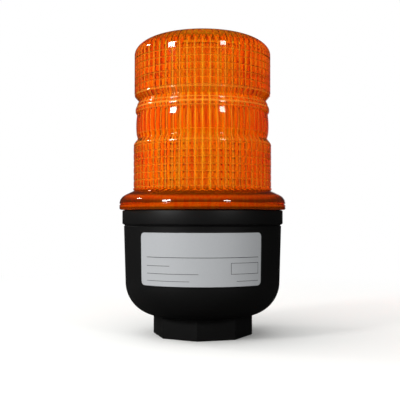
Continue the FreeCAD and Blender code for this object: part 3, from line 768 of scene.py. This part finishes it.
def makeLabel():
    s = labelShape
    bm = bmesh.new()
    flatPlate(bm, -s["width"] / 2, s["width"] / 2, s["foot"], s["top"], s["corner"], s["strips"])
    grown = bmesh.ops.extrude_face_region(bm, geom=bm.faces[:])
    raised = [item for item in grown["geom"] if isinstance(item, bmesh.types.BMVert)]
    bmesh.ops.translate(bm, verts=raised, vec=(0, -s["thickness"] * mm, 0))
    bendRound(bm, 0.0)
    tidyMesh(bm)
    makePiece(bm, "labelFoil", foilMaterial, "housing", ["rating_label"])


def makePrint():
    p = labelPrint
    bm = bmesh.new()
    for left, right, low, high in p["rules"]:
        # each rule is cut in a mesh of its own, so that its cuts leave the others alone
        one = bmesh.new()
        flatPlate(one, left, right, low, high, 0, max(1, int((right - left) / p["strip"])))
        plain = bpy.data.meshes.new("rule")
        one.to_mesh(plain)
        one.free()
        bm.from_mesh(plain)
        bpy.data.meshes.remove(plain)
    bmesh.ops.solidify(bm, geom=bm.faces[:], thickness=p["thickness"] * mm)
    bendRound(bm, labelShape["thickness"] + p["lift"])
    tidyMesh(bm)
    makePiece(bm, "labelRules", stuffMaterials["blackInkScreenPrinted"], "housing")


makeLabel()
makePrint()
print("label made")


# Inner pieces keep their CAD shapes and get their finishes

finishes = {
    "chassis_plate": "whitePolycarbonateMoulded", "post_cap": "whitePolycarbonateMoulded",
    "led_post": "aluminiumPowderCoated", "board_links": "whiteVinylExtruded",
    "chassis_screws": "steelZincPlated", "post_screws": "steelZincPlated",
    "standoff_screws": "steelZincPlated", "driver_screws": "steelZincPlated",
    "terminal_screws": "steelZincPlated", "driver_standoffs": "steelZincPlated",
    "driver_board": "greenSolderMaskPrinted", "terminal_block": "greenNylonMoulded",
    "transformer_core": "ferriteSintered", "input_choke": "ferriteSintered",
    "transformer_coil": "yellowPolyesterTapeWound", "bulk_capacitor": "blackSleeveHeatShrunk",
    "fuse": "sodaGlassDrawn", "surge_varistor": "blueEpoxyDipped", "bridge_rectifier": "blackEpoxyMoulded",
    "control_chip": "blackEpoxyMoulded", "switch_transistor": "blackEpoxyMoulded",
    "output_header": "creamNylonMoulded", "led_lead_positive": "whiteVinylExtruded",
    "led_lead_negative": "greyVinylExtruded",
}
postFaces = 6
for face in range(1, postFaces + 1):
    finishes[f"led_board_{face}"] = "whiteSolderMaskPrinted"
    finishes[f"led_emitters_{face}"] = "phosphorSiliconeCast"

for node, finish in finishes.items():
    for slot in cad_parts[node].material_slots:
        slot.material = stuffMaterials[finish]
print("inner pieces finished")


# Floor: pale cloth that keeps the shadow and runs into the white background

floorShape = {
    "size": 6.0, "shadowReach": 0.12, "shadowEnd": 0.4, "seen": "#f6f6f4", "unseen": "#2e2e2d",
    "roughLow": 0.8, "roughHigh": 0.95, "shine": 0.1, "mottle": 40.0,  # mottle in millimetres
}


def makeFloor():
    s = floorShape
    material, tree, place = startMaterial("paleClothWoven")
    mottle = addNode(tree, "ShaderNodeTexNoise", {
        "Vector": place, "Scale": perMetre(s["mottle"]), "Detail": 2.0})
    rough = addNode(tree, "ShaderNodeMapRange", {
        "Value": mottle.outputs["Fac"], "To Min": s["roughLow"], "To Max": s["roughHigh"]})
    path = addNode(tree, "ShaderNodeLightPath")
    seen = addNode(tree, "ShaderNodeMath", {
        0: path.outputs["Is Camera Ray"], 1: path.outputs["Is Transmission Ray"]}, operation="MAXIMUM")
    # dim to all other rays, so that little light comes up from it onto the black housing
    colour = addNode(tree, "ShaderNodeMix", {
        mixShare: seen.outputs[0], colourLow: linear(s["unseen"]), colourHigh: linear(s["seen"])},
        data_type="RGBA")
    cloth = addNode(tree, "ShaderNodeBsdfPrincipled", {
        "Base Color": colour.outputs[colourOut], "Roughness": rough.outputs[0],
        "Specular IOR Level": s["shine"]})
    reach = addNode(tree, "ShaderNodeVectorMath", {0: place}, operation="LENGTH")
    fade = addNode(tree, "ShaderNodeMapRange", {
        "Value": reach.outputs["Value"], "From Min": s["shadowReach"], "From Max": s["shadowEnd"]},
        interpolation_type="SMOOTHSTEP")
    glow = addNode(tree, "ShaderNodeEmission", {"Color": white, "Strength": seen.outputs[0]})
    shader = addNode(tree, "ShaderNodeMixShader", {
        0: fade.outputs[0], 1: cloth.outputs[0], 2: glow.outputs[0]})
    finishMaterial(tree, shader)
    bm = bmesh.new()
    bmesh.ops.create_grid(bm, x_segments=1, y_segments=1, size=s["size"] / 2)
    mesh = bpy.data.meshes.new("studioFloor")
    bm.to_mesh(mesh)
    bm.free()
    mesh.materials.append(material)
    floor = bpy.data.objects.new("studioFloor", mesh)
    bpy.context.scene.collection.objects.link(floor)


# World: white to the camera; glass and gloss see a soft white backdrop behind the object and a dim room

room = {
    "daylightFrom": (-0.78, -0.6, 0.15), "daylightLow": 0.1, "daylightHigh": 1.7,
    # where the backdrop starts and is full, from 0 beside the light to 1 behind it, and the room's two levels
    "throughGlass": {"edge": 0.3, "full": 0.97, "beside": 0.53, "front": 0.43},
    "inGloss": {"edge": 0.95, "full": 0.995, "beside": 0.025, "front": 0.0},
    "ceiling": 0.7, "ceilingFrom": 0.25, "ceilingTo": 0.7,
}


def makeWorld():
    world = bpy.data.worlds.new("studioWorld")
    bpy.context.scene.world = world
    world.use_nodes = True
    tree = world.node_tree
    tree.nodes.clear()
    direction = addNode(tree, "ShaderNodeTexCoord").outputs["Generated"]
    parts = addNode(tree, "ShaderNodeSeparateXYZ", {0: direction})
    depth = parts.outputs["Y"]
    rise = parts.outputs["Z"]
    path = addNode(tree, "ShaderNodeLightPath")

    def backdrop(edge, full, beside, front):
        # white behind the light, a dim room beside it, a little brighter by the camera, dimmer overhead
        back = addNode(tree, "ShaderNodeMapRange", {
            "Value": depth, "From Min": edge, "From Max": full, "To Min": beside},
            interpolation_type="SMOOTHSTEP")
        ahead = addNode(tree, "ShaderNodeMapRange", {
            "Value": depth, "From Min": -full, "From Max": -edge, "To Min": front, "To Max": 0.0},
            interpolation_type="SMOOTHSTEP")
        both = addNode(tree, "ShaderNodeMath", {0: back.outputs[0], 1: ahead.outputs[0]}, operation="ADD")
        lid = addNode(tree, "ShaderNodeMapRange", {
            "Value": rise, "From Min": room["ceilingFrom"], "From Max": room["ceilingTo"], "To Min": 1.0,
            "To Max": room["ceiling"]}, interpolation_type="SMOOTHSTEP")
        dimmed = addNode(tree, "ShaderNodeMath", {0: both.outputs[0], 1: lid.outputs[0]},
                         operation="MULTIPLY")
        return dimmed.outputs[0]

    # soft daylight, stronger from the front left
    towards = addNode(tree, "ShaderNodeVectorMath", {0: direction, 1: room["daylightFrom"]},
                      operation="DOT_PRODUCT")
    level = addNode(tree, "ShaderNodeMapRange", {
        "Value": towards.outputs["Value"], "From Min": -1.0, "To Min": room["daylightLow"],
        "To Max": room["daylightHigh"]}).outputs[0]
    # a ray bent by glass counts as glossy too, so glass comes after gloss
    for ray, seen in (("Is Glossy Ray", backdrop(**room["inGloss"])),
                      ("Is Transmission Ray", backdrop(**room["throughGlass"])), ("Is Camera Ray", 1.0)):
        mix = addNode(tree, "ShaderNodeMix", {
            mixShare: path.outputs[ray], numberLow: level, numberHigh: seen}, data_type="FLOAT")
        level = mix.outputs[numberOut]
    sky = addNode(tree, "ShaderNodeBackground", {"Color": white, "Strength": level})
    addNode(tree, "ShaderNodeOutputWorld", {"Surface": sky.outputs[0]})


# Lights: soft boxes that face the middle of the object; azimuth 0 is the front, positive to the right

lampPlace = {"aimHeight": 0.08, "distance": 0.75}
softBoxes = {
    "leftBox": {"azimuth": -45, "elevation": 23, "width": 0.14, "height": 0.15, "energy": 1.8},
    "rightBox": {"azimuth": 40, "elevation": 23, "width": 0.115, "height": 0.125, "energy": 0.7},
    "sideBox": {"azimuth": -102, "elevation": 30, "width": 0.1, "height": 0.05, "energy": 0.6},
}


def addLamp(name, azimuth, elevation, width, height, energy):
    turn = radians(azimuth)
    lift = radians(elevation)
    away = Vector((sin(turn) * cos(lift), -cos(turn) * cos(lift), sin(lift)))
    place = Vector((0, 0, lampPlace["aimHeight"])) + away * lampPlace["distance"]
    lamp = bpy.data.lights.new(name, "AREA")
    lamp.shape = "RECTANGLE"
    lamp.size = width
    lamp.size_y = height
    lamp.energy = energy
    box = bpy.data.objects.new(name, lamp)
    box.matrix_world = Matrix.Translation(place) @ away.to_track_quat("Z", "Y").to_matrix().to_4x4()
    box.visible_transmission = False  # no lamp shows inside the lens
    bpy.context.scene.collection.objects.link(box)


# Camera: place in millimetres, and in pixels of the frame the level of its height and the column of the axis

camera = {"azimuth": 6.0, "distance": 376.0, "height": 59.2, "focal": 67.0, "sensor": 36.0, "horizon": 216.0,
          "axisColumn": 202.5, "frame": 400.0, "nearest": 10.0}


def makeCamera():
    c = camera
    lens = bpy.data.cameras.new("studioCamera")
    lens.lens = c["focal"]
    lens.sensor_width = c["sensor"]
    lens.clip_start = c["nearest"] * mm
    view = bpy.data.objects.new("studioCamera", lens)
    turn = radians(c["azimuth"])
    place = Vector((sin(turn) * c["distance"], -cos(turn) * c["distance"], c["height"])) * mm
    focalPixels = c["focal"] / c["sensor"] * c["frame"]
    tilt = (c["horizon"] - c["frame"] / 2) / focalPixels
    pan = (c["axisColumn"] - c["frame"] / 2) / focalPixels
    ahead = Vector((-sin(turn), cos(turn), 0))
    right = Vector((cos(turn), sin(turn), 0))
    aim = ahead - right * pan + Vector((0, 0, tilt))
    view.matrix_world = Matrix.Translation(place) @ aim.to_track_quat("-Z", "Y").to_matrix().to_4x4()
    bpy.context.scene.collection.objects.link(view)
    bpy.context.scene.camera = view


makeFloor()
makeWorld()
for name, values in softBoxes.items():
    addLamp(name, **values)
makeCamera()
bpy.context.scene.view_settings.view_transform = "Standard"
print("studio set")
